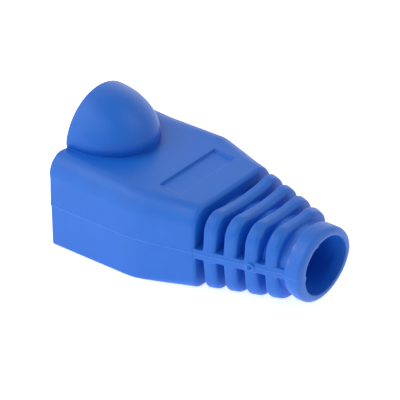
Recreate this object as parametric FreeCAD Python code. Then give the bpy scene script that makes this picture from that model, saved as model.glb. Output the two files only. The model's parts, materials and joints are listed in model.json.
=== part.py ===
import FreeCAD, Part
import math
import os

# Strain relief boot for an 8P8C modular plug: one soft moulding, in millimetres.
# X runs along the cable. It is counted from the plug end while the boot is shaped,
# and the finished boot is then moved so that the origin is at the middle of its length.
# Y is across the boot. Z is up from the flat underside. The two mould halves meet
# on the plane z = parting_height, which also holds the axis of the cable bore.

# Back of the plug that the boot goes over, and the walls round it
plug_width = 11.68
plug_clearance = 0.06
side_wall = 0.9
floor_wall = 0.95
roof_wall = 1.0

# Pocket for the plug, and the funnel from it into the bore
pocket_depth = 9.0
pocket_height = 6.8
pocket_corner = 0.5
funnel_length = 4.0

# Straight box round the pocket
box_length = 9.0
box_draft = 0.03
base_draft = 0.01
box_corner = 1.8
base_corner = 0.3

# Mould halves: the upper one is a little wider than the lower one
parting_height = 4.1
mould_ledge = 0.07

# Tapered shoulder behind the box
shoulder_length = 5.65
side_taper = 0.25
top_fall = 0.05
shoulder_corner = 1.7
shoulder_base_corner = 1.3
shoulder_base_rise = 0.2
shoulder_rim = 0.4

# Ribbed tail: rings on a thin tube, joined by a web on each side
groove_count = 5
groove_width = 0.7
rib_width = 1.135
rib_drop = 0.22
rib_top_fall = 0.065
rib_base_rise = 0.05
rib_draft = 0.1
rib_first_corner = 1.5
rib_last_corner = 2.1
rib_base_first_corner = 1.4
rib_base_last_corner = 2.25
rib_first_dip = 0.3
rib_last_dip = 0.04
rib_leading_rim = 0.2
rib_trailing_rim = 0.5
tube_wall = 0.28
web_above = 0.42
web_below = 0.54

# Collar that closes the tail
collar_length = 1.85
collar_height = 6.4
collar_width = 7.2
collar_rim = 0.5
collar_brow = 0.3

# Passage for the cable
bore_radius = 2.5
mouth_length = 1.6
mouth_width = 5.7
mouth_height = 5.2

# Half dome that shields the plug's latch
dome_length = 5.85
dome_inset = 2.25
dome_rise = 4.42
dome_sink = 0.28
dome_root = 0.12
dome_wall = 0.8

# Shallow label recess on top
label_start = 9.7
label_length = 2.27
label_width = 7.5
label_depth = 0.14

# Gate mark on the near web, at the third rib
gate_radius = 0.33
gate_proud = 0.12
gate_setback = 0.5
ribs_before_gate = 2

# Worked-out places
shoulder_end = box_length + shoulder_length
groove_pitch = groove_width + rib_width
collar_start = shoulder_end + groove_count * groove_pitch - rib_width
overall_length = collar_start + collar_length
tube_radius = bore_radius + tube_wall
tail_length = collar_start - shoulder_end
pocket_half = plug_width / 2 + plug_clearance
pocket_top = floor_wall + pocket_height
box_half = pocket_half + side_wall
box_height = pocket_top + roof_wall
dome_width = 2 * (box_half - dome_inset)
rib_first_height = box_height - top_fall * shoulder_end - rib_drop
shoulder_end_half = box_half - side_taper * shoulder_length
margin = 1.0
least_flat = 0.96
same_place = 1e-4

UPPER = 1
LOWER = -1


def point(x, y, z):
    return FreeCAD.Vector(x, y, z)


def same(one, other):
    """True for two coordinates of one place."""
    return abs(one - other) < same_place


def top_height(x):
    """Height of the sloping top face of the box and the shoulder."""
    return box_height - top_fall * x


def fitting_radius(wanted, half_width, reach, lean):
    """Corner radius, held below what the section has room for."""
    room = (half_width * math.cos(lean) - reach * math.sin(lean)) / (1 - math.sin(lean))
    return min(wanted, least_flat * room, least_flat * reach)


def half_section(x, side, half_width, reach, corner, draft, dip):
    """Closed outline of one mould half in the plane x. The half rises `reach` from the
    parting plane, leans in by its draft, and may dip in the middle of its flat face."""
    lean = math.atan(draft)
    radius = fitting_radius(corner, half_width, reach, lean)
    centre_h = reach - radius
    centre_y = half_width - (radius + centre_h * math.sin(lean)) / math.cos(lean)

    def spot(y, h):
        return point(x, y, parting_height + side * h)

    def on_arc(angle, hand):
        return spot(hand * (centre_y + radius * math.cos(angle)), centre_h + radius * math.sin(angle))

    middle = (lean + math.pi / 2) / 2
    near = [spot(-half_width, 0), on_arc(lean, -1), on_arc(middle, -1), spot(-centre_y, reach)]
    far = [spot(half_width, 0), on_arc(lean, 1), on_arc(middle, 1), spot(centre_y, reach)]
    if dip > 0:
        flat = Part.Arc(near[3], spot(0, reach - dip), far[3]).toShape()
    else:
        flat = Part.makeLine(near[3], far[3])
    edges = [
        Part.makeLine(near[0], near[1]),
        Part.Arc(near[1], near[2], near[3]).toShape(),
        flat,
        Part.Arc(far[3], far[2], far[1]).toShape(),
        Part.makeLine(far[1], far[0]),
        Part.makeLine(far[0], near[0]),
    ]
    return Part.Wire(edges)


def rims_at(solid, x):
    """Edges of the solid that lie in the plane x, away from the parting plane."""
    found = []
    for edge in solid.Edges:
        box = edge.BoundBox
        in_plane = same(box.XMin, x) and same(box.XMax, x)
        on_parting = same(box.ZMin, parting_height) and same(box.ZMax, parting_height)
        if in_plane and not on_parting:
            found.append(edge)
    return found


def body_half(side):
    """Box and shoulder of one mould half, with its rear rim rounded."""
    ledge = mould_ledge if side == LOWER else 0
    if side == UPPER:
        reaches = [top_height(x) - parting_height for x in (0, box_length, shoulder_end)]
        corners = [box_corner, box_corner, shoulder_corner]
        draft = box_draft
    else:
        reaches = [parting_height, parting_height, parting_height - shoulder_base_rise]
        corners = [base_corner, base_corner, shoulder_base_corner]
        draft = base_draft
    stations = [0, box_length, shoulder_end]
    halves = [box_half - ledge, box_half - ledge, shoulder_end_half - ledge]
    outlines = []
    for x, half, reach, corner in zip(stations, halves, reaches, corners):
        outlines.append(half_section(x, side, half, reach, corner, draft, 0))
    solid = Part.makeLoft(outlines, True, True)
    return solid.makeFillet(shoulder_rim, rims_at(solid, shoulder_end))


def tail_section(x, side):
    """Outline of one half of the tail at x, before the grooves are taken out."""
    along = x - shoulder_end
    share = along / tail_length
    half = shoulder_end_half - side_taper * along
    if side == UPPER:
        reach = rib_first_height - rib_top_fall * along - parting_height
        corner = rib_first_corner + share * (rib_last_corner - rib_first_corner)
        dip = rib_first_dip + share * (rib_last_dip - rib_first_dip)
    else:
        reach = parting_height - shoulder_base_rise - rib_base_rise * along
        corner = rib_base_first_corner + share * (rib_base_last_corner - rib_base_first_corner)
        dip = 0
    return half_section(x, side, half, reach, corner, rib_draft, dip)


def tail_slice(start, end, side):
    """One half of the tail between two places."""
    return Part.makeLoft([tail_section(start, side), tail_section(end, side)], True, True)


def rib_half(index, side):
    """One half of a rib: a crisp rim towards the plug, a rolled one towards the cable."""
    start = shoulder_end + index * groove_pitch + groove_width
    end = start + rib_width
    solid = tail_slice(start, end, side)
    solid = solid.makeFillet(rib_trailing_rim, rims_at(solid, end))
    return solid.makeFillet(rib_leading_rim, rims_at(solid, start))


def webs():
    """Plate along the parting plane that ties the ribs together on both sides."""
    plate_height = web_above + web_below
    corner = point(shoulder_end - margin, -box_half, parting_height - web_below)
    plate = Part.makeBox(tail_length + 2 * margin, 2 * box_half, plate_height, corner)
    inside_collar = collar_start + collar_brow
    upper = tail_slice(shoulder_end, inside_collar, UPPER)
    lower = tail_slice(shoulder_end, inside_collar, LOWER)
    return upper.fuse(lower).common(plate)


def ribs():
    solids = []
    for index in range(groove_count - 1):
        for side in (UPPER, LOWER):
            solids.append(rib_half(index, side))
    return solids


def axis_point(x, radius):
    return point(x, 0, parting_height + radius)


def tube_and_collar():
    """Oval tube that carries the ribs, and the plain ring that closes it."""
    radius = collar_height / 2
    start = shoulder_end - margin
    rim_x = overall_length - collar_rim
    brow_x = collar_start + collar_brow
    diagonal = math.sqrt(0.5)
    brow = axis_point(brow_x - collar_brow * diagonal, radius - collar_brow * (1 - diagonal))
    rim = axis_point(rim_x + collar_rim * diagonal, radius - collar_rim * (1 - diagonal))
    corners = [
        axis_point(start, 0),
        axis_point(start, tube_radius),
        axis_point(collar_start, tube_radius),
        axis_point(collar_start, radius - collar_brow),
        axis_point(brow_x, radius),
        axis_point(rim_x, radius),
        axis_point(overall_length, radius - collar_rim),
        axis_point(overall_length, 0),
    ]
    profile = [Part.makeLine(corners[index], corners[index + 1]) for index in (0, 1, 2, 4, 6)]
    profile.append(Part.Arc(corners[3], brow, corners[4]).toShape())
    profile.append(Part.Arc(corners[5], rim, corners[6]).toShape())
    profile.append(Part.makeLine(corners[7], corners[0]))
    face = Part.Face(Part.Wire(Part.__sortEdges__(profile)))
    turned = face.revolve(axis_point(0, 0), point(1, 0, 0), 360)
    widen = FreeCAD.Matrix()
    widen.scale(1, collar_width / collar_height, 1)
    return turned.transformGeometry(widen)


def oval_outline(x, width, height):
    """Closed oval about the bore axis in the plane x."""
    circle = Part.Wire(Part.makeCircle(height / 2, axis_point(x, 0), point(1, 0, 0)))
    widen = FreeCAD.Matrix()
    widen.scale(1, width / height, 1)
    return circle.transformGeometry(widen)


def bore():
    """Round cable passage, opening to an oval mouth."""
    start = pocket_depth + funnel_length - margin
    length = overall_length - start
    passage = Part.makeCylinder(bore_radius, length, axis_point(start, 0), point(1, 0, 0))
    inner = oval_outline(overall_length - mouth_length, 2 * bore_radius, 2 * bore_radius)
    outer = oval_outline(overall_length, mouth_width, mouth_height)
    return passage.fuse(Part.makeLoft([inner, outer], True, True))


def rounded_box_outline(x, half_width, low, high, corner):
    """Closed rounded rectangle in the plane x."""
    quarter = math.pi / 2
    mid_z = (low + high) / 2
    run_y = half_width - corner
    run_z = (high - low) / 2 - corner
    edges = []
    last = None
    first = None
    for turn, (hand_y, hand_z) in enumerate(((1, 1), (-1, 1), (-1, -1), (1, -1))):
        centre = (hand_y * run_y, mid_z + hand_z * run_z)
        ends = []
        for part in (0, 0.5, 1):
            angle = (turn + part) * quarter
            out_y = corner * math.cos(angle)
            out_z = corner * math.sin(angle)
            ends.append(point(x, centre[0] + out_y, centre[1] + out_z))
        if last is not None:
            edges.append(Part.makeLine(last, ends[0]))
        else:
            first = ends[0]
        edges.append(Part.Arc(*ends).toShape())
        last = ends[2]
    edges.append(Part.makeLine(last, first))
    return Part.Wire(edges)


def pocket():
    """Room for the plug, and the funnel that narrows to the bore."""
    front = rounded_box_outline(-margin, pocket_half, floor_wall, pocket_top, pocket_corner)
    back = rounded_box_outline(pocket_depth, pocket_half, floor_wall, pocket_top, pocket_corner)
    straight = Part.makeLoft([front, back], True, True)
    low = parting_height - bore_radius
    high = parting_height + bore_radius
    throat_x = pocket_depth + funnel_length
    throat = rounded_box_outline(throat_x, bore_radius, low, high, least_flat * bore_radius)
    funnel = Part.makeLoft([back, throat], True, True)
    return straight.fuse(funnel)


def ellipsoid(length, width, rise):
    """Ellipsoid centred on the plug-end plane, a little below the top face."""
    stretch = FreeCAD.Matrix()
    stretch.scale(length, width / 2, rise)
    shape = Part.makeSphere(1.0).transformGeometry(stretch)
    shape.translate(point(0, 0, box_height - dome_sink))
    return shape


def dome():
    """Outside of the latch shield, cut flush with the plug end."""
    reach = 2 * box_half
    foot = top_height(dome_length) - roof_wall
    keep = Part.makeBox(reach, reach, reach, point(0, -reach / 2, foot))
    return ellipsoid(dome_length, dome_width, dome_rise).common(keep)


def dome_hollow():
    """Inside of the latch shield, open to the plug end and to the pocket."""
    reach = 2 * box_half
    keep = Part.makeBox(reach, reach, reach, point(-margin, -reach / 2, pocket_top - margin))
    inner_width = dome_width - 2 * dome_wall
    return ellipsoid(dome_length - dome_wall, inner_width, dome_rise - dome_wall).common(keep)


def dome_foot(solid):
    """Edges where the latch shield meets the top face."""
    lowest = top_height(dome_length) - dome_root
    highest = box_height + dome_root
    found = []
    for edge in solid.Edges:
        box = edge.BoundBox
        in_height = box.ZMin > lowest and box.ZMax < highest
        in_length = box.XMin < dome_length and box.XMax < dome_length + dome_root
        if in_height and in_length and box.XLength > dome_root:
            found.append(edge)
    return found


def label_recess():
    """Shallow rectangle sunk square to the sloping top face."""
    floor = Part.makeBox(label_length, label_width, margin, point(0, -label_width / 2, -label_depth))
    floor.rotate(point(0, 0, 0), point(0, 1, 0), math.degrees(math.atan(top_fall)))
    floor.translate(point(label_start, 0, top_height(label_start)))
    return floor


def gate_mark():
    """Low round stub on the near web."""
    x = shoulder_end + ribs_before_gate * groove_pitch + groove_width + gate_setback
    half = shoulder_end_half - side_taper * (x - shoulder_end)
    start = point(x, -half - gate_proud, parting_height)
    return Part.makeCylinder(gate_radius, margin, start, point(0, 1, 0))


def strain_relief_boot():
    solid = body_half(UPPER).fuse(body_half(LOWER))
    solid = solid.fuse(dome())
    solid = solid.makeFillet(dome_root, dome_foot(solid))
    solid = solid.fuse([*ribs(), webs(), tube_and_collar(), gate_mark()])
    solid = solid.cut(pocket())
    solid = solid.cut(dome_hollow())
    solid = solid.cut(bore())
    solid = solid.cut(label_recess())
    solid.translate(point(-overall_length / 2, 0, 0))
    return solid


os.makedirs("parts", exist_ok=True)
strain_relief_boot().exportStep("parts/strain_relief_boot.step")
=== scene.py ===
"""Looks of a moulded strain relief boot: satin soft vinyl, mould line, gate mark and trimmed hole."""
import json
import math

import bmesh
import bpy
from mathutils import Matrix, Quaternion, Vector


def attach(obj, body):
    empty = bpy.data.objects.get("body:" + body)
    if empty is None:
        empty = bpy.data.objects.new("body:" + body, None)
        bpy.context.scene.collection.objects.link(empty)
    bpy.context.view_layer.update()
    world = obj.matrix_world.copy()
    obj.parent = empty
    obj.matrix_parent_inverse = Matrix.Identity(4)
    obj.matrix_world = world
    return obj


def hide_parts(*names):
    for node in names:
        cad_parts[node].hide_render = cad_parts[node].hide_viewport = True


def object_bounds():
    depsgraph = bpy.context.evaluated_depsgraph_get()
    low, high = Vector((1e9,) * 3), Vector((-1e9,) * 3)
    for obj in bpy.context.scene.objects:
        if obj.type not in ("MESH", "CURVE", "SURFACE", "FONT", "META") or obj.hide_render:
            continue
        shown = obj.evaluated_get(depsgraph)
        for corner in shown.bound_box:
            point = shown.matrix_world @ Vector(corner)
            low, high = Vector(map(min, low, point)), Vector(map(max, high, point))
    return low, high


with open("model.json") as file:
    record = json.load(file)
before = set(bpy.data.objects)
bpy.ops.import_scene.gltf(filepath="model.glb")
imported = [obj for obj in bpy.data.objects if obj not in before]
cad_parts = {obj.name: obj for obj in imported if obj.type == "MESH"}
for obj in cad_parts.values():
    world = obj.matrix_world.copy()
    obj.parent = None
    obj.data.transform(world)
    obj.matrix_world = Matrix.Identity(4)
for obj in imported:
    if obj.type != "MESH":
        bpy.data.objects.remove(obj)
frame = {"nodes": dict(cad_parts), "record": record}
cad_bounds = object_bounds()

MM = 0.001
BODY = "root"
CAD_NODE = "strain_relief_boot"

# Skin of the moulding: how near its points weld, how fine it is, and how far its edges soften.
WELD = 0.002 * MM
VOXEL = 0.058 * MM
SOFTENING = 0.5
SOFTENING_STEPS = 2
MOST_TRIANGLES = 190000

# Places on the boot: its ends, to the micrometre, and its bore from the frame, then from its own sizes.
PLUG_END, CABLE_END = (round(corner.x, 6) for corner in cad_bounds)
BORE = next(mount for mount in frame["record"]["mounts"] if mount["name"] == "cable_bore")
BORE_RADIUS = BORE["dims"]["r_mm"] * MM
PARTING_HEIGHT = BORE["pos_m"][2]
BOX_END = -3.27 * MM
SHOULDER_END = 2.38 * MM
COLLAR_START = 10.42 * MM
DOME_CENTRE = Vector((PLUG_END / MM, 0, 8.47)) * MM
DOME_LENGTH = 5.85 * MM
DOME_HALF_WIDTH = 4.55 * MM

# Side bend where the box meets the shoulder, eased over this reach, and room for the mould line.
NEAR_BEND_REACH = 1.3 * MM
FAR_BEND_REACH = 0.4 * MM
BEND_SLOPE = 0.25
BEND_SIDE_INNER = 4.7 * MM
BEND_SIDE_OUTER = 5.6 * MM
WIDEST_SIDE = 6.6 * MM
LINE_ROOM = 0.04 * MM

# Foot of the dome: tucked under, with a fine crease round it. The skin's places are shares of its ring.
DOME_FOOT = 8.45 * MM
TUCK_HEIGHT = 1.1 * MM
TUCK_BELOW = 1 * MM
TUCK_DEPTH = 0.3 * MM
TUCK_SKIN_INNER = 0.88
TUCK_SKIN_OUTER = 0.94
TUCK_SKIN_END = 1.06
CREASE_DEPTH = 0.2 * MM
CREASE_REACH = 0.14 * MM
CREASE_INSET = 0.08 * MM
CREASE_LOWEST = 8.1 * MM
CREASE_FADE = 0.25 * MM

# How far the soft collar has settled to the near side below its axis.
COLLAR_SET = 0.2 * MM
COLLAR_HALF = 3.2 * MM
COLLAR_EASE = 1 * MM

# How far the soft top edges have moved out, as (place along the boot, distance) in mm.
# The movement grows from the inner to the outer of these places, on the box and on the ribs.
FAR_EDGE = [(-9.0, -0.17), (-3.27, 0.14), (2.3, -0.10), (2.5, 0.14), (10.4, 0.14)]
NEAR_EDGE = [(PLUG_END / MM, 0.14), (-9.5, 0.0), (10.4, 0.0)]
EDGE_INNER = Vector((0, 4.2, 6.2)) * MM
EDGE_OUTER = Vector((0, 5.6, 7.6)) * MM
RIB_EDGE_INNER = Vector((0, 2.2, 4.6)) * MM
RIB_EDGE_OUTER = Vector((0, 3.6, 6.0)) * MM
DIAGONAL = math.sqrt(0.5)

# Label recess, which has sunk a little more than its mould.
LABEL_LOW = Vector((-2.54, -3.72, 7.5)) * MM
LABEL_HIGH = Vector((-0.33, 3.72, 8.6)) * MM
LABEL_SINK = 0.1 * MM

# Mould line: a bead laid on both sides from outside the moulding.
LINE_START = PLUG_END + 0.03 * MM
LINE_END = CABLE_END - 0.17 * MM
LINE_STEP = 0.06 * MM
LINE_OUTSIDE = 9 * MM
LINE_RADIUS = 0.055 * MM
LINE_SUNK = 0.012 * MM
LINE_SOFTENING = 2
LINE_FACETS = 8

# Gate mark on the near web: a ring left by the sprue, with a dimple where it was cut away.
GATE_PLACE = Vector((7.46, -4.24, PARTING_HEIGHT / MM)) * MM
GATE_LEAN = math.atan(BEND_SLOPE)
GATE_REACH = 0.7 * MM
GATE_RADIUS = 0.28 * MM
GATE_BEAD = 0.07 * MM
GATE_RAGGED = 0.035 * MM
GATE_DIMPLE_RADIUS = 0.22 * MM
GATE_DIMPLE_DEPTH = 0.18 * MM
GATE_DEEPEST = 0.5 * MM

# Trimmed edge of the hole: a ragged bead, and tags as (angle from the far side, depth in mm).
MOUTH_HALF_WIDTH = 2.85 * MM
MOUTH_HALF_HEIGHT = 2.6 * MM
MOUTH_BEAD = 0.06 * MM
MOUTH_RAGGED = 0.05 * MM
MOUTH_SET_BACK = 0.03 * MM
MOUTH_TAGS = [(math.radians(117), 0.16), (math.radians(180), 0.13)]
MOUTH_TAG_ARC = math.radians(4)
MOUTH_TAG_REACH = 0.5 * MM
MOUTH_RIM_INNER = 1.15 * BORE_RADIUS
MOUTH_RIM_OUTER = 1.3 * BORE_RADIUS

# Ragged beads: lumps for each radius, points round the ring and facets round the bead.
LUMPS = 3
RING_POINTS = 96
RING_FACETS = 10

# Camera: where it stands round the boot, and what it looks at.
VIEW_AZIMUTH = math.radians(38.67)
VIEW_ELEVATION = math.radians(31.67)
VIEW_ROLL = math.radians(-0.84)
VIEW_DISTANCE = 320 * MM
VIEW_CENTRE = Vector((1.73, 0, 4.5)) * MM
AIM_RIGHT = -2.298 * MM
AIM_UP = 1.744 * MM
LENS = 339.24
NEAREST_SEEN = 32 * MM

# Light: soft boxes as (azimuth, elevation, watts), in a white room on a lit white table.
LAMP_TARGET = Vector((0, 0, 4)) * MM
LAMP_DISTANCE = 420 * MM
LAMP_SIZE = 280 * MM
SOFT_BOXES = {
    "front box": (0, 48, 0.330),
    "near low box": (-30, 15, 0.358),
    "left box": (-60, 48, 0.628),
    "back left box": (-120, 48, 0.130),
    "back low box": (-150, 15, 0.120),
    "far low box": (180, 15, 0.100),
    "back right box": (120, 48, 0.363),
    "right low box": (90, 15, 0.130),
}
WHITE = (1, 1, 1, 1)
ROOM_LEVEL = 0.1
TABLE_SIZE = 600 * MM
TABLE_COLOUR = (0.82, 0.82, 0.82, 1)
TABLE_ROUGHNESS = 0.9
TABLE_GLOW = 0.78

# Vinyl: the shades it mottles between, its gloss, bloom and grain.
VINYL_DEEP = (0.0075, 0.139, 0.632, 1)
VINYL_PALE = (0.0095, 0.151, 0.667, 1)
EDGE_DEEP = (0.020, 0.190, 0.720, 1)
EDGE_PALE = (0.030, 0.215, 0.750, 1)
VINYL_IOR = 1.5
VINYL_GLOSS = 0.40
VINYL_ROUGHNESS = 0.42
EDGE_ROUGHNESS = 0.38
UNEVENNESS = 0.05
BLOOM = 0.03
BLOOM_SOFTNESS = 0.35
GRAIN_SCALE = 9000
WAVE_SCALE = 900
WAVE_SHARE = 2
MOTTLE_SCALE = 700
MOTTLE_RANGE = (0.3, 0.7)
GRAIN_DEPTH = 0.004 * MM

# Painted highlights: pale spots laid on where the collar, rib 4, the shoulder's near top edge and the
# cable end catch light, as (centre, reach, strength) in mm, broken up by noise.
HIGHLIGHT_NOISE_SCALE = 2500
HIGHLIGHT_NOISE_LEAST = 0.55
HIGHLIGHT_NOISE_SWING = 0.9
PAINTED_HIGHLIGHT_COLOUR = (0.22, 0.26, 0.52, 1)
PAINTED_HIGHLIGHTS = [
    # Painted highlights where the collar's left side and rib 4's upper edge catch light.
    ((10.75, -2.45, 6.40), (0.40, 0.65, 0.45), 0.30),
    ((10.70, -3.25, 5.47), (0.35, 0.40, 0.70), 0.26),
    ((7.81, -3.05, 6.90), (0.35, 0.50, 0.60), 0.18),
    # Painted highlight along the rounding of the shoulder's near top edge.
    ((0.90, -5.00, 7.75), (1.60, 0.60, 0.25), 0.10),
    # Painted light over the cable end's face and lip, making them paler as if more light fell there.
    ((CABLE_END / MM, 0.00, PARTING_HEIGHT / MM), (0.55, 14.0, 14.0), 0.16),
]


def link(thing):
    """Puts an object into the scene."""
    bpy.context.scene.collection.objects.link(thing)
    return thing


def merged_copy(solid, name):
    """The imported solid's surface as one welded mesh."""
    mesh = solid.data.copy()
    welded = bmesh.new()
    welded.from_mesh(mesh)
    bmesh.ops.remove_doubles(welded, verts=welded.verts, dist=WELD)
    welded.to_mesh(mesh)
    welded.free()
    mesh.name = name
    return link(bpy.data.objects.new(name, mesh))


def baked(thing):
    """The object with its modifiers taken into a plain mesh."""
    bpy.context.view_layer.update()
    evaluated = thing.evaluated_get(bpy.context.evaluated_depsgraph_get())
    mesh = bpy.data.meshes.new_from_object(evaluated)
    thing.modifiers.clear()
    thing.data = mesh
    return thing


def eased(low, high, value):
    """Smooth step from 0 below low to 1 above high."""
    share = min(1, max(0, (value - low) / (high - low)))
    return share * share * (3 - 2 * share)


def bend_eased(place):
    """Draws the side in over the box end, so that it bends in a curve."""
    reach = NEAR_BEND_REACH if place.y < 0 else FAR_BEND_REACH
    near = max(0, reach - abs(place.x - BOX_END))
    side = eased(BEND_SIDE_INNER, BEND_SIDE_OUTER, abs(place.y))
    inward = side * BEND_SLOPE * near * near / (4 * reach)
    inward += LINE_ROOM * eased(BEND_SIDE_OUTER, WIDEST_SIDE, abs(place.y))
    place.y -= math.copysign(inward, place.y)


def dome_tucked(place):
    """Draws the dome's foot in under it, and sinks a fine crease where it meets the top."""
    from_centre = place - DOME_CENTRE
    across = math.hypot(from_centre.x, from_centre.y)
    ring = math.hypot(from_centre.x / DOME_LENGTH, from_centre.y / DOME_HALF_WIDTH)
    if ring == 0 or place.z < DOME_FOOT - TUCK_BELOW or place.z > DOME_FOOT + TUCK_HEIGHT:
        return
    above = max(0, place.z - DOME_FOOT) / TUCK_HEIGHT
    skin = eased(TUCK_SKIN_INNER, TUCK_SKIN_OUTER, ring) * (1 - eased(1, TUCK_SKIN_END, ring))
    tuck = TUCK_DEPTH * skin * (1 - above) ** 2
    off = (ring - 1) * across / ring + CREASE_INSET
    place.x -= tuck * from_centre.x / across
    place.y -= tuck * from_centre.y / across
    top = eased(CREASE_LOWEST, CREASE_LOWEST + CREASE_FADE, place.z) * (1 - above)
    if ring > TUCK_SKIN_INNER:
        place.z -= top * CREASE_DEPTH * math.exp(-(off / CREASE_REACH) ** 2)


def collar_settled(place):
    """Leans the collar's lower half to the near side, as the soft ring has set."""
    if place.x < COLLAR_START or place.z > PARTING_HEIGHT:
        return
    height = place.z - PARTING_HEIGHT
    angle = math.atan2(-height, place.y)
    share = eased(COLLAR_START, COLLAR_START + COLLAR_EASE, place.x) / COLLAR_HALF
    inward = COLLAR_SET * math.sin(2 * angle) * share
    place.y -= inward * place.y
    place.z -= inward * height


def along(stations, x):
    """How far an edge has moved at x, straight between its stations on either side."""
    before = stations[0]
    for after in stations:
        if x < after[0] * MM:
            span = (after[0] - before[0]) * MM
            share = (x - before[0] * MM) / span if span else 0
            return (before[1] + share * (after[1] - before[1])) * MM
        before = after
    return before[1] * MM


def top_edge_uneven(place):
    """Lets the soft top edges lie a little in or out along their length."""
    if place.x > COLLAR_START:
        return
    inner, outer = EDGE_INNER, EDGE_OUTER
    if place.x > SHOULDER_END:
        inner, outer = RIB_EDGE_INNER, RIB_EDGE_OUTER
    side = math.copysign(1, place.y)
    swell = along(FAR_EDGE if side > 0 else NEAR_EDGE, place.x)
    swell *= eased(inner.y, outer.y, side * place.y) * eased(inner.z, outer.z, place.z)
    place.y += side * swell * DIAGONAL
    place.z += swell * DIAGONAL


def label_sunk(place):
    """Sinks the floor of the label recess a little more."""
    pairs = zip(LABEL_LOW, place, LABEL_HIGH)
    if all(low < value < high for low, value, high in pairs):
        place.z -= LABEL_SINK


def mouth_tagged(place):
    """Leaves two small trim tags on the edge of the hole."""
    if place.x < CABLE_END - MOUTH_TAG_REACH:
        return
    height = place.z - PARTING_HEIGHT
    radius = math.hypot(place.y, height)
    rim = 1 - eased(MOUTH_RIM_INNER, MOUTH_RIM_OUTER, radius)
    near_end = eased(CABLE_END - MOUTH_TAG_REACH, CABLE_END, place.x)
    angle = math.atan2(height, place.y) % (2 * math.pi)
    tags = (depth * math.exp(-((angle - at) / MOUTH_TAG_ARC) ** 2) for at, depth in MOUTH_TAGS)
    inward = sum(tags) * MM * rim * near_end
    place.y -= inward * place.y / radius
    place.z -= inward * height / radius


def gate_dimpled(place):
    """Trims the gate stub level with the web and sinks its middle, where the sprue was cut away."""
    off = math.hypot(place.x - GATE_PLACE.x, place.z - GATE_PLACE.z)
    if off > GATE_REACH or place.y > GATE_PLACE.y + GATE_DEEPEST:
        return
    level = GATE_PLACE.y + BEND_SLOPE * (place.x - GATE_PLACE.x)
    dimple = GATE_DIMPLE_DEPTH * max(0, 1 - (off / GATE_DIMPLE_RADIUS) ** 2)
    place.y = max(place.y, level) + dimple


def soft_moulding(thing):
    """Rounds every edge by the small radius that a moulding has, and works in what a soft one shows."""
    remesh = thing.modifiers.new("one skin", "REMESH")
    remesh.mode = "VOXEL"
    remesh.voxel_size = VOXEL
    remesh.use_smooth_shade = True
    smooth = thing.modifiers.new("soft edges", "SMOOTH")
    smooth.factor = SOFTENING
    smooth.iterations = SOFTENING_STEPS
    baked(thing)
    for vertex in thing.data.vertices:
        bend_eased(vertex.co)
        dome_tucked(vertex.co)
        collar_settled(vertex.co)
        top_edge_uneven(vertex.co)
        label_sunk(vertex.co)
        mouth_tagged(vertex.co)
        gate_dimpled(vertex.co)
    triangles = sum(len(face.vertices) - 2 for face in thing.data.polygons)
    if triangles > MOST_TRIANGLES:
        thinner = thing.modifiers.new("fewer faces", "DECIMATE")
        thinner.ratio = MOST_TRIANGLES / triangles
        baked(thing)
    thing.data.polygons.foreach_set("use_smooth", [True] * len(thing.data.polygons))
    return thing


def node_tree(name, kind, inputs, outputs):
    """An empty node group with named sockets, and its input and output nodes."""
    tree = bpy.data.node_groups.new(name, kind)
    for label, socket_type, value in inputs:
        entry = tree.interface.new_socket(label, in_out="INPUT", socket_type=socket_type)
        if value is not None:
            entry.default_value = value
    for label, socket_type in outputs:
        tree.interface.new_socket(label, in_out="OUTPUT", socket_type=socket_type)
    return tree, tree.nodes.new("NodeGroupInput"), tree.nodes.new("NodeGroupOutput")


def node(tree, kind, inputs, **settings):
    """A new node with settings, and its inputs linked to a socket or set to a value."""
    fresh = tree.nodes.new(kind)
    for key, value in settings.items():
        setattr(fresh, key, value)
    for key, value in inputs.items():
        if isinstance(value, bpy.types.NodeSocket):
            tree.links.new(value, fresh.inputs[key])
        else:
            fresh.inputs[key].default_value = value
    return fresh


def first_output(tree, kind, inputs, **settings):
    """The first output of a new node."""
    return node(tree, kind, inputs, **settings).outputs[0]


def maths(tree, operation, *operands):
    """A maths node; each operand is a socket or a number."""
    return first_output(tree, "ShaderNodeMath", dict(enumerate(operands)), operation=operation)


def vector_maths(tree, operation, *operands):
    """A vector maths node; each operand is a socket."""
    return node(tree, "ShaderNodeVectorMath", dict(enumerate(operands)), operation=operation)


def noise(tree, places, scale, detail):
    """Noise between 0 and 1, fine detail included."""
    inputs = {"Vector": places, "Scale": scale, "Detail": detail}
    return node(tree, "ShaderNodeTexNoise", inputs).outputs["Fac"]


def moulding_grain():
    """Fine grain and slow mottling that a soft moulding takes from its mould."""
    tree, given, result = node_tree(
        "moulding grain",
        "ShaderNodeTree",
        [
            ("Roughness", "NodeSocketFloat", VINYL_ROUGHNESS),
            ("Unevenness", "NodeSocketFloat", UNEVENNESS),
        ],
        [
            ("Height", "NodeSocketFloat"),
            ("Roughness", "NodeSocketFloat"),
            ("Mottle", "NodeSocketFloat"),
        ],
    )
    places = node(tree, "ShaderNodeTexCoord", {}).outputs["Object"]
    fine = noise(tree, places, GRAIN_SCALE, 2)
    broad = noise(tree, places, MOTTLE_SCALE, 3)
    wave = noise(tree, places, WAVE_SCALE, 1)
    height = maths(tree, "MULTIPLY_ADD", wave, WAVE_SHARE, fine)
    swing = maths(tree, "MULTIPLY_ADD", broad, 2, -1)
    uneven = given.outputs["Unevenness"]
    rough = maths(tree, "MULTIPLY_ADD", swing, uneven, given.outputs["Roughness"])
    tree.links.new(height, result.inputs["Height"])
    tree.links.new(rough, result.inputs["Roughness"])
    tree.links.new(broad, result.inputs["Mottle"])
    return tree


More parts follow.
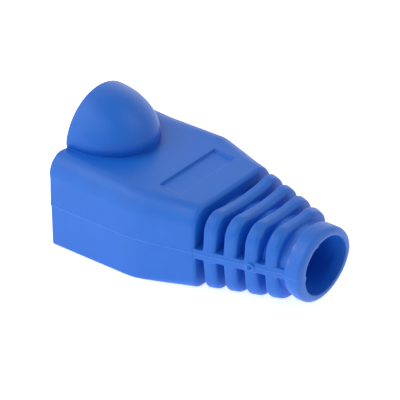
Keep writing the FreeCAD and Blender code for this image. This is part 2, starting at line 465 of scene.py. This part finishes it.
def painted_highlight_spot():
    """How much a place is painted pale as a highlight: most at the centre, broken up by noise, none
    past the reach.
    """
    tree, given, result = node_tree(
        "painted highlight spot",
        "ShaderNodeTree",
        [
            ("Centre", "NodeSocketVector", (0, 0, 0)),
            ("Reach", "NodeSocketVector", (MM, MM, MM)),
            ("Strength", "NodeSocketFloat", 1),
            ("Before", "NodeSocketFloat", 0),
        ],
        [("Amount", "NodeSocketFloat")],
    )
    places = node(tree, "ShaderNodeTexCoord", {}).outputs["Object"]
    offset = vector_maths(tree, "SUBTRACT", places, given.outputs["Centre"]).outputs[0]
    shares = vector_maths(tree, "DIVIDE", offset, given.outputs["Reach"]).outputs[0]
    length = vector_maths(tree, "LENGTH", shares).outputs["Value"]
    fade = first_output(
        tree,
        "ShaderNodeMapRange",
        {"Value": length, "From Min": 0, "From Max": 1, "To Min": 1, "To Max": 0},
        interpolation_type="SMOOTHSTEP",
    )
    broken = maths(tree, "MULTIPLY_ADD", noise(tree, places, HIGHLIGHT_NOISE_SCALE, 3), HIGHLIGHT_NOISE_SWING, HIGHLIGHT_NOISE_LEAST)
    strong = maths(tree, "MULTIPLY", fade, given.outputs["Strength"])
    amount = maths(tree, "MULTIPLY_ADD", strong, broken, given.outputs["Before"])
    tree.links.new(amount, result.inputs["Amount"])
    return tree


def mottled(tree, mottle, deep, pale):
    """Colour that mottles between two near shades."""
    ramp = node(tree, "ShaderNodeValToRGB", {"Fac": mottle})
    for stop, position, shade in zip(ramp.color_ramp.elements, MOTTLE_RANGE, (deep, pale)):
        stop.position = position
        stop.color = shade
    return ramp.outputs["Color"]


def with_painted_highlights(tree, colour, highlight_spots):
    """The colour with its painted highlights laid over it."""
    spot = painted_highlight_spot()
    amount = None
    for centre, reach, strength in highlight_spots:
        highlight_node = node(tree, "ShaderNodeGroup", {}, node_tree=spot)
        highlight_node.inputs["Centre"].default_value = Vector(centre) * MM
        highlight_node.inputs["Reach"].default_value = Vector(reach) * MM
        highlight_node.inputs["Strength"].default_value = strength
        if amount:
            tree.links.new(amount, highlight_node.inputs["Before"])
        amount = highlight_node.outputs["Amount"]
    mix = node(tree, "ShaderNodeMix", {}, data_type="RGBA")
    ends = {end.identifier: end for end in [*mix.inputs, *mix.outputs]}
    ends["B_Color"].default_value = PAINTED_HIGHLIGHT_COLOUR
    tree.links.new(amount, ends["Factor_Float"])
    tree.links.new(colour, ends["A_Color"])
    return ends["Result_Color"]


def vinyl(name, deep, pale, grain, roughness, highlight_spots):
    """Satin soft vinyl: two near shades mottled together, a fine grain, and pale painted highlights."""
    material = bpy.data.materials.new(name)
    material.use_nodes = True
    tree = material.node_tree
    shader = tree.nodes["Principled BSDF"]
    shader.inputs["IOR"].default_value = VINYL_IOR
    shader.inputs["Specular IOR Level"].default_value = VINYL_GLOSS
    shader.inputs["Sheen Weight"].default_value = BLOOM
    shader.inputs["Sheen Roughness"].default_value = BLOOM_SOFTNESS
    skin = node(tree, "ShaderNodeGroup", {}, node_tree=grain)
    skin.inputs["Roughness"].default_value = roughness
    skin.inputs["Unevenness"].default_value = UNEVENNESS
    tree.links.new(skin.outputs["Roughness"], shader.inputs["Roughness"])
    bump = node(tree, "ShaderNodeBump", {"Distance": GRAIN_DEPTH, "Height": skin.outputs["Height"]})
    tree.links.new(bump.outputs["Normal"], shader.inputs["Normal"])
    colour = mottled(tree, skin.outputs["Mottle"], deep, pale)
    # Pale spots painted into the colour as highlights.
    if highlight_spots:
        colour = with_painted_highlights(tree, colour, highlight_spots)
    tree.links.new(colour, shader.inputs["Base Color"])
    return material


def finished(tree, source, given, result):
    """Ends a tree: instances made real, smooth shading and the material."""
    real = first_output(tree, "GeometryNodeRealizeInstances", {"Geometry": source})
    smooth = first_output(tree, "GeometryNodeSetShadeSmooth", {0: real})
    dressed = first_output(
        tree,
        "GeometryNodeSetMaterial",
        {"Geometry": smooth, "Material": given.outputs["Material"]},
    )
    tree.links.new(dressed, result.inputs["Geometry"])


def grown(name, tree, values):
    """An object made by a geometry tree with the given inputs, baked to a plain mesh."""
    thing = link(bpy.data.objects.new(name, bpy.data.meshes.new(name)))
    modifier = thing.modifiers.new(tree.name, "NODES")
    modifier.node_group = tree
    for item in tree.interface.items_tree:
        if item.in_out == "INPUT" and item.name in values:
            modifier[item.identifier] = values[item.name]
    return baked(thing)


def vector_socket(sockets):
    """The vector socket that the node's data type leaves in use."""
    return next(one for one in sockets if one.type == "VECTOR" and one.enabled)


def laid_run(tree, given, skin, hand):
    """Points laid on one side of the moulding from outside it, sunk in a little and softened."""
    stand = maths(tree, "MULTIPLY", given.outputs["Outside"], hand)
    height = given.outputs["Height"]
    start, end = (
        first_output(tree, "ShaderNodeCombineXYZ", {"X": given.outputs[name], "Y": stand, "Z": height})
        for name in ("Start", "End")
    )
    run = first_output(tree, "GeometryNodeCurvePrimitiveLine", {"Start": start, "End": end})
    steps = first_output(
        tree,
        "GeometryNodeResampleCurve",
        {"Curve": run, "Length": given.outputs["Step"]},
        mode="LENGTH",
    )
    inward = first_output(tree, "ShaderNodeCombineXYZ", {"Y": -hand})
    reach = maths(tree, "MULTIPLY", given.outputs["Outside"], 2)
    hit = node(tree, "GeometryNodeRaycast", {0: skin, "Ray Direction": inward, "Ray Length": reach})
    sunk = maths(tree, "MULTIPLY", given.outputs["Sunk"], -hand)
    deeper = first_output(tree, "ShaderNodeCombineXYZ", {"Y": sunk})
    landed = first_output(
        tree,
        "GeometryNodeSetPosition",
        {0: steps, "Position": hit.outputs["Hit Position"], "Offset": deeper},
    )
    here = first_output(tree, "GeometryNodeInputPosition", {})
    soften = {"Iterations": LINE_SOFTENING}
    level = node(tree, "GeometryNodeBlurAttribute", soften, data_type="FLOAT_VECTOR")
    tree.links.new(here, vector_socket(level.inputs))
    settled = {0: landed, "Position": vector_socket(level.outputs)}
    return first_output(tree, "GeometryNodeSetPosition", settled)


def mould_line_tree():
    """A fine bead laid on both sides of a moulding where its two mould halves met."""
    tree, given, result = node_tree(
        "mould line",
        "GeometryNodeTree",
        [
            ("Moulding", "NodeSocketObject", None),
            ("Height", "NodeSocketFloat", 0),
            ("Start", "NodeSocketFloat", 0),
            ("End", "NodeSocketFloat", 1),
            ("Step", "NodeSocketFloat", 0.1),
            ("Outside", "NodeSocketFloat", 1),
            ("Radius", "NodeSocketFloat", 0.01),
            ("Sunk", "NodeSocketFloat", 0),
            ("Material", "NodeSocketMaterial", None),
        ],
        [("Geometry", "NodeSocketGeometry")],
    )
    moulding = node(tree, "GeometryNodeObjectInfo", {"Object": given.outputs["Moulding"]})
    bead = first_output(
        tree,
        "GeometryNodeCurvePrimitiveCircle",
        {"Resolution": LINE_FACETS, "Radius": given.outputs["Radius"]},
    )
    both = tree.nodes.new("GeometryNodeJoinGeometry")
    for hand in (-1, 1):
        run = laid_run(tree, given, moulding.outputs["Geometry"], hand)
        tube = first_output(tree, "GeometryNodeCurveToMesh", {0: run, 1: bead, "Fill Caps": True})
        tree.links.new(tube, both.inputs[0])
    finished(tree, both.outputs[0], given, result)
    return tree


def ragged_ring_tree():
    """An oval bead with an uneven thickness from fixed noise, drawn in the XY plane and then turned."""
    tree, given, result = node_tree(
        "ragged ring",
        "GeometryNodeTree",
        [
            ("X radius", "NodeSocketFloat", 1),
            ("Y radius", "NodeSocketFloat", 1),
            ("Bead", "NodeSocketFloat", 0.1),
            ("Ragged", "NodeSocketFloat", 0),
            ("Lumps", "NodeSocketFloat", 1000),
            ("Seed", "NodeSocketFloat", 1),
            ("Turn", "NodeSocketRotation", None),
            ("Place", "NodeSocketVector", (0, 0, 0)),
            ("Material", "NodeSocketMaterial", None),
        ],
        [("Geometry", "NodeSocketGeometry")],
    )
    ring = first_output(
        tree,
        "GeometryNodeCurvePrimitiveCircle",
        {"Resolution": RING_POINTS, "Radius": 1},
    )
    size = first_output(
        tree,
        "ShaderNodeCombineXYZ",
        {"X": given.outputs["X radius"], "Y": given.outputs["Y radius"], "Z": 1},
    )
    oval = first_output(tree, "GeometryNodeTransform", {0: ring, "Scale": size})
    here = first_output(tree, "GeometryNodeInputPosition", {})
    seed, scale = given.outputs["Seed"], given.outputs["Lumps"]
    lumps = node(
        tree,
        "ShaderNodeTexNoise",
        {"Vector": here, "W": seed, "Scale": scale, "Detail": 2},
        noise_dimensions="4D",
    )
    centred = maths(tree, "SUBTRACT", lumps.outputs["Fac"], 0.5)
    uneven = maths(tree, "MULTIPLY", centred, given.outputs["Ragged"])
    outward = vector_maths(tree, "NORMALIZE", here).outputs[0]
    shift = vector_maths(tree, "SCALE", outward)
    tree.links.new(uneven, shift.inputs["Scale"])
    moved = first_output(tree, "GeometryNodeSetPosition", {0: oval, "Offset": shift.outputs[0]})
    bead = first_output(
        tree,
        "GeometryNodeCurvePrimitiveCircle",
        {"Resolution": RING_FACETS, "Radius": given.outputs["Bead"]},
    )
    tube = first_output(tree, "GeometryNodeCurveToMesh", {0: moved, 1: bead})
    placed = first_output(
        tree,
        "GeometryNodeTransform",
        {0: tube, "Translation": given.outputs["Place"], "Rotation": given.outputs["Turn"]},
    )
    finished(tree, placed, given, result)
    return tree


def direction(azimuth, elevation):
    """Unit vector that points from the boot to a place round it."""
    flat = math.cos(elevation)
    return Vector((math.sin(azimuth) * flat, -math.cos(azimuth) * flat, math.sin(elevation)))


def soft_boxes():
    """Square lamps that all face the boot."""
    for name, (azimuth, elevation, watts) in SOFT_BOXES.items():
        data = bpy.data.lights.new(name, "AREA")
        data.size = LAMP_SIZE
        data.energy = watts
        box = link(bpy.data.objects.new(name, data))
        outward = direction(math.radians(azimuth), math.radians(elevation))
        box.location = LAMP_TARGET + outward * LAMP_DISTANCE
        box.rotation_euler = outward.to_track_quat("Z", "Y").to_euler()


def table():
    """A lit white table top that keeps the boot's soft shadow."""
    bpy.ops.mesh.primitive_plane_add(size=TABLE_SIZE)
    plane = bpy.context.object
    plane.name = "table"
    material = bpy.data.materials.new("lit white table")
    material.use_nodes = True
    shader = material.node_tree.nodes["Principled BSDF"]
    shader.inputs["Base Color"].default_value = TABLE_COLOUR
    shader.inputs["Roughness"].default_value = TABLE_ROUGHNESS
    shader.inputs["Emission Color"].default_value = WHITE
    shader.inputs["Emission Strength"].default_value = TABLE_GLOW
    plane.data.materials.append(material)


def white_room():
    """Even light from all round, seen as plain white by the camera and in what mirrors it."""
    world = bpy.data.worlds.new("white room")
    bpy.context.scene.world = world
    world.use_nodes = True
    tree = world.node_tree
    background = tree.nodes["Background"]
    background.inputs["Color"].default_value = WHITE
    background.inputs["Strength"].default_value = ROOM_LEVEL
    seen = first_output(tree, "ShaderNodeBackground", {"Color": WHITE})
    ray = tree.nodes.new("ShaderNodeLightPath").outputs
    mirrored = maths(tree, "MAXIMUM", ray["Is Glossy Ray"], ray["Is Transmission Ray"])
    white = maths(tree, "MAXIMUM", ray["Is Camera Ray"], mirrored)
    room = {"Fac": white, 1: background.outputs["Background"], 2: seen}
    picked = first_output(tree, "ShaderNodeMixShader", room)
    tree.links.new(picked, tree.nodes["World Output"].inputs["Surface"])


def camera():
    """Stands off the cable end's near side and looks down on the boot."""
    data = bpy.data.cameras.new("camera")
    data.lens = LENS
    data.clip_start = NEAREST_SEEN
    eye = link(bpy.data.objects.new("camera", data))
    back = direction(VIEW_AZIMUTH, VIEW_ELEVATION)
    right = Vector((0, 0, 1)).cross(back).normalized()
    aim = VIEW_CENTRE + right * AIM_RIGHT + back.cross(right) * AIM_UP
    eye.location = VIEW_CENTRE + back * VIEW_DISTANCE
    turn = (eye.location - aim).to_track_quat("Z", "Y")
    eye.rotation_euler = (turn @ Quaternion((0, 0, 1), VIEW_ROLL)).to_euler()
    bpy.context.scene.camera = eye


grain = moulding_grain()
# The boot's skin carries the painted highlights.
skin_vinyl = vinyl("satin blue vinyl", VINYL_DEEP, VINYL_PALE, grain, VINYL_ROUGHNESS, PAINTED_HIGHLIGHTS)
edge_vinyl = vinyl("mould edge vinyl", EDGE_DEEP, EDGE_PALE, grain, EDGE_ROUGHNESS, [])

boot = soft_moulding(merged_copy(frame["nodes"][CAD_NODE], "boot_moulding"))
boot.data.materials.clear()
boot.data.materials.append(skin_vinyl)

line = grown(
    "mould_line",
    mould_line_tree(),
    {
        "Moulding": boot,
        "Height": PARTING_HEIGHT + LINE_RADIUS / 2,
        "Start": LINE_START,
        "End": LINE_END,
        "Step": LINE_STEP,
        "Outside": LINE_OUTSIDE,
        "Radius": LINE_RADIUS,
        "Sunk": LINE_SUNK,
        "Material": edge_vinyl,
    },
)
ring_tree = ragged_ring_tree()
gate = grown(
    "gate_ring",
    ring_tree,
    {
        "X radius": GATE_RADIUS,
        "Y radius": GATE_RADIUS,
        "Bead": GATE_BEAD,
        "Ragged": GATE_RAGGED,
        "Lumps": LUMPS / GATE_RADIUS,
        "Turn": (math.radians(90), 0, GATE_LEAN),
        "Place": GATE_PLACE,
        "Material": edge_vinyl,
    },
)

# The mouth's ring is turned so that its X stands upright.
mouth = grown(
    "mouth_flash",
    ring_tree,
    {
        "X radius": MOUTH_HALF_HEIGHT,
        "Y radius": MOUTH_HALF_WIDTH,
        "Bead": MOUTH_BEAD,
        "Ragged": MOUTH_RAGGED,
        "Lumps": LUMPS / MOUTH_HALF_WIDTH,
        "Turn": (0, math.radians(90), 0),
        "Place": Vector((CABLE_END - MOUTH_BEAD - MOUTH_SET_BACK, 0, PARTING_HEIGHT)),
        "Material": skin_vinyl,
    },
)
for vertex in mouth.data.vertices:
    collar_settled(vertex.co)

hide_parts(CAD_NODE)
for piece in (boot, line, gate, mouth):
    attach(piece, BODY)

table()
white_room()
soft_boxes()
camera()

bpy.context.scene.view_settings.view_transform = "Standard"
